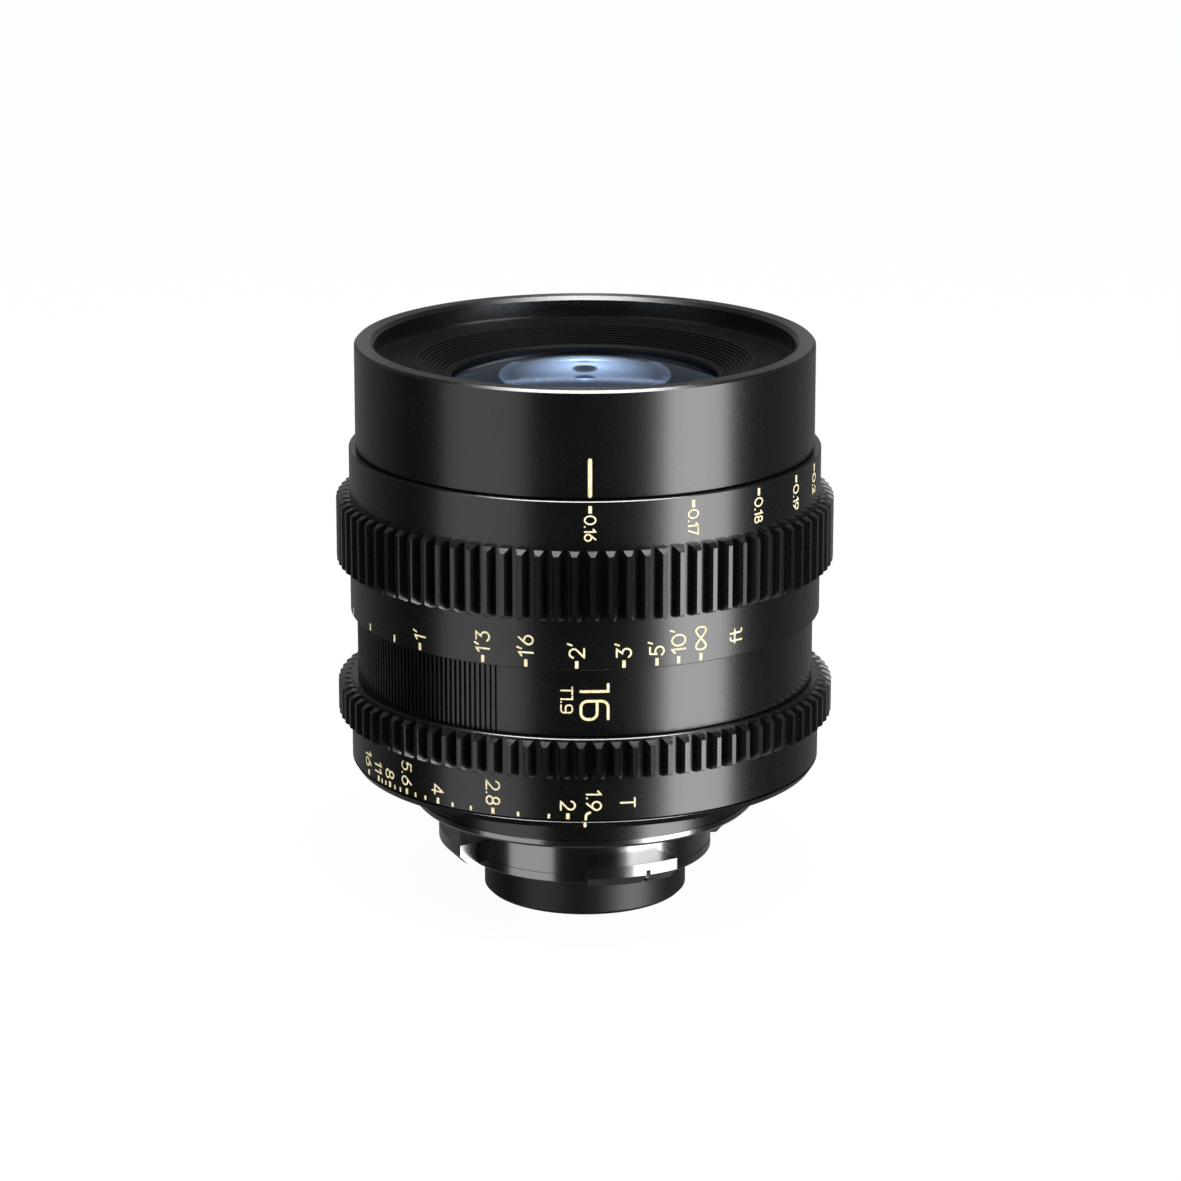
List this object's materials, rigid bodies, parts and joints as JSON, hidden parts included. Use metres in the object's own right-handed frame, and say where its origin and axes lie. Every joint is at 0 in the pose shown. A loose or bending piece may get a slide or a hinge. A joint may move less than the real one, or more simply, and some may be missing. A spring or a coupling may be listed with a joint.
{
  "type": "cinema prime lens",
  "caption": "Cinema prime lens with geared focus and iris rings, a ribbed fixed sleeve, a bladed iris, a sliding focus group and a three-lug bayonet mount.",
  "frame": {"origin": "centre of the flange face that seats on the camera, on the optical axis", "axes": "+Z along the optical axis towards the front of the lens, -Y towards the index line"},
  "size_m": [0.0728, 0.0728, 0.0831],
  "materials": {
    "black_anodised": "bead-blasted, black anodised",
    "black_inner": "matt black",
    "mount_steel": "turned and lapped",
    "pin_steel": "ground",
    "blade_steel": "blackened spring steel",
    "brass": "turned",
    "coated_glass": "polished, coated"
  },
  "bodies": {
    "barrel": {"front_barrel": "black_anodised", "baffle_ring": "black_inner", "front_retainer": "black_inner", "front_element": "coated_glass", "second_element": "coated_glass", "third_element": "coated_glass", "front_cell": "black_inner", "front_spacer": "black_inner", "front_cell_retainer": "black_inner", "main_barrel": "black_inner", "guide_rods": "pin_steel", "ribbed_sleeve": "black_anodised", "iris_housing": "black_inner", "iris_pivot_plate": "black_inner", "rotor_ring": "black_inner", "rear_housing": "black_anodised", "mount_shim": "pin_steel", "mount_plate": "mount_steel", "mount_screws": "pin_steel", "rear_cell": "black_inner", "rear_group_front": "coated_glass", "rear_group_middle": "coated_glass", "rear_group_back": "coated_glass", "rear_spacer": "black_inner", "rear_tube": "black_inner", "rear_element": "coated_glass", "rear_retainer": "black_inner"},
    "focus": {"focus_ring": "black_anodised", "focus_key": "pin_steel", "helicoid_sleeve": "brass"},
    "carrier": {"focus_carrier": "black_inner", "focus_element_front": "coated_glass", "focus_element_rear": "coated_glass", "focus_spacer": "black_inner", "focus_retainer": "black_inner"},
    "iris": {"iris_ring": "black_anodised", "iris_drive_pin": "pin_steel", "iris_rotor": "black_inner"},
    "blade_1": {"iris_blade_1": "blade_steel"},
    "blade_2": {"iris_blade_2": "blade_steel"},
    "blade_3": {"iris_blade_3": "blade_steel"},
    "blade_4": {"iris_blade_4": "blade_steel"},
    "blade_5": {"iris_blade_5": "blade_steel"},
    "blade_6": {"iris_blade_6": "blade_steel"},
    "blade_7": {"iris_blade_7": "blade_steel"},
    "blade_8": {"iris_blade_8": "blade_steel"},
    "blade_9": {"iris_blade_9": "blade_steel"}
  },
  "joints": [
    {"name": "focus_turn", "type": "hinge", "parent": "barrel", "child": "focus", "pos_m": [0, 0, 0], "axis": [0, 0, 1], "range_deg": [-209, 0]},
    {"name": "carrier_slide", "type": "slide", "parent": "barrel", "child": "carrier", "axis": [0, 0, 1], "range_m": [-0.00306, 0]},
    {"name": "iris_turn", "type": "hinge", "parent": "barrel", "child": "iris", "pos_m": [0, 0, 0], "axis": [0, 0, 1], "range_deg": [0, 75]},
    {"name": "blade_1_turn", "type": "hinge", "parent": "barrel", "child": "blade_1", "pos_m": [0.0165, 0, 0.012], "axis": [0, 0, 1], "range_deg": [0, 27.25]},
    {"name": "blade_2_turn", "type": "hinge", "parent": "barrel", "child": "blade_2", "pos_m": [0.01264, 0.01061, 0.012], "axis": [0, 0, 1], "range_deg": [0, 27.25]},
    {"name": "blade_3_turn", "type": "hinge", "parent": "barrel", "child": "blade_3", "pos_m": [0.00287, 0.01625, 0.012], "axis": [0, 0, 1], "range_deg": [0, 27.25]},
    {"name": "blade_4_turn", "type": "hinge", "parent": "barrel", "child": "blade_4", "pos_m": [-0.00825, 0.01429, 0.012], "axis": [0, 0, 1], "range_deg": [0, 27.25]},
    {"name": "blade_5_turn", "type": "hinge", "parent": "barrel", "child": "blade_5", "pos_m": [-0.0155, 0.00564, 0.012], "axis": [0, 0, 1], "range_deg": [0, 27.25]},
    {"name": "blade_6_turn", "type": "hinge", "parent": "barrel", "child": "blade_6", "pos_m": [-0.0155, -0.00564, 0.012], "axis": [0, 0, 1], "range_deg": [0, 27.25]},
    {"name": "blade_7_turn", "type": "hinge", "parent": "barrel", "child": "blade_7", "pos_m": [-0.00825, -0.01429, 0.012], "axis": [0, 0, 1], "range_deg": [0, 27.25]},
    {"name": "blade_8_turn", "type": "hinge", "parent": "barrel", "child": "blade_8", "pos_m": [0.00287, -0.01625, 0.012], "axis": [0, 0, 1], "range_deg": [0, 27.25]},
    {"name": "blade_9_turn", "type": "hinge", "parent": "barrel", "child": "blade_9", "pos_m": [0.01264, -0.01061, 0.012], "axis": [0, 0, 1], "range_deg": [0, 27.25]}
  ],
  "couplings": [
    {"joint": "carrier_slide", "follows": "focus_turn", "m_per_rad": 0.00083614},
    {"joint": "blade_1_turn", "follows": "iris_turn", "ratio": 0.36268},
    {"joint": "blade_2_turn", "follows": "iris_turn", "ratio": 0.36268},
    {"joint": "blade_3_turn", "follows": "iris_turn", "ratio": 0.36268},
    {"joint": "blade_4_turn", "follows": "iris_turn", "ratio": 0.36268},
    {"joint": "blade_5_turn", "follows": "iris_turn", "ratio": 0.36268},
    {"joint": "blade_6_turn", "follows": "iris_turn", "ratio": 0.36268},
    {"joint": "blade_7_turn", "follows": "iris_turn", "ratio": 0.36268},
    {"joint": "blade_8_turn", "follows": "iris_turn", "ratio": 0.36268},
    {"joint": "blade_9_turn", "follows": "iris_turn", "ratio": 0.36268}
  ]
}
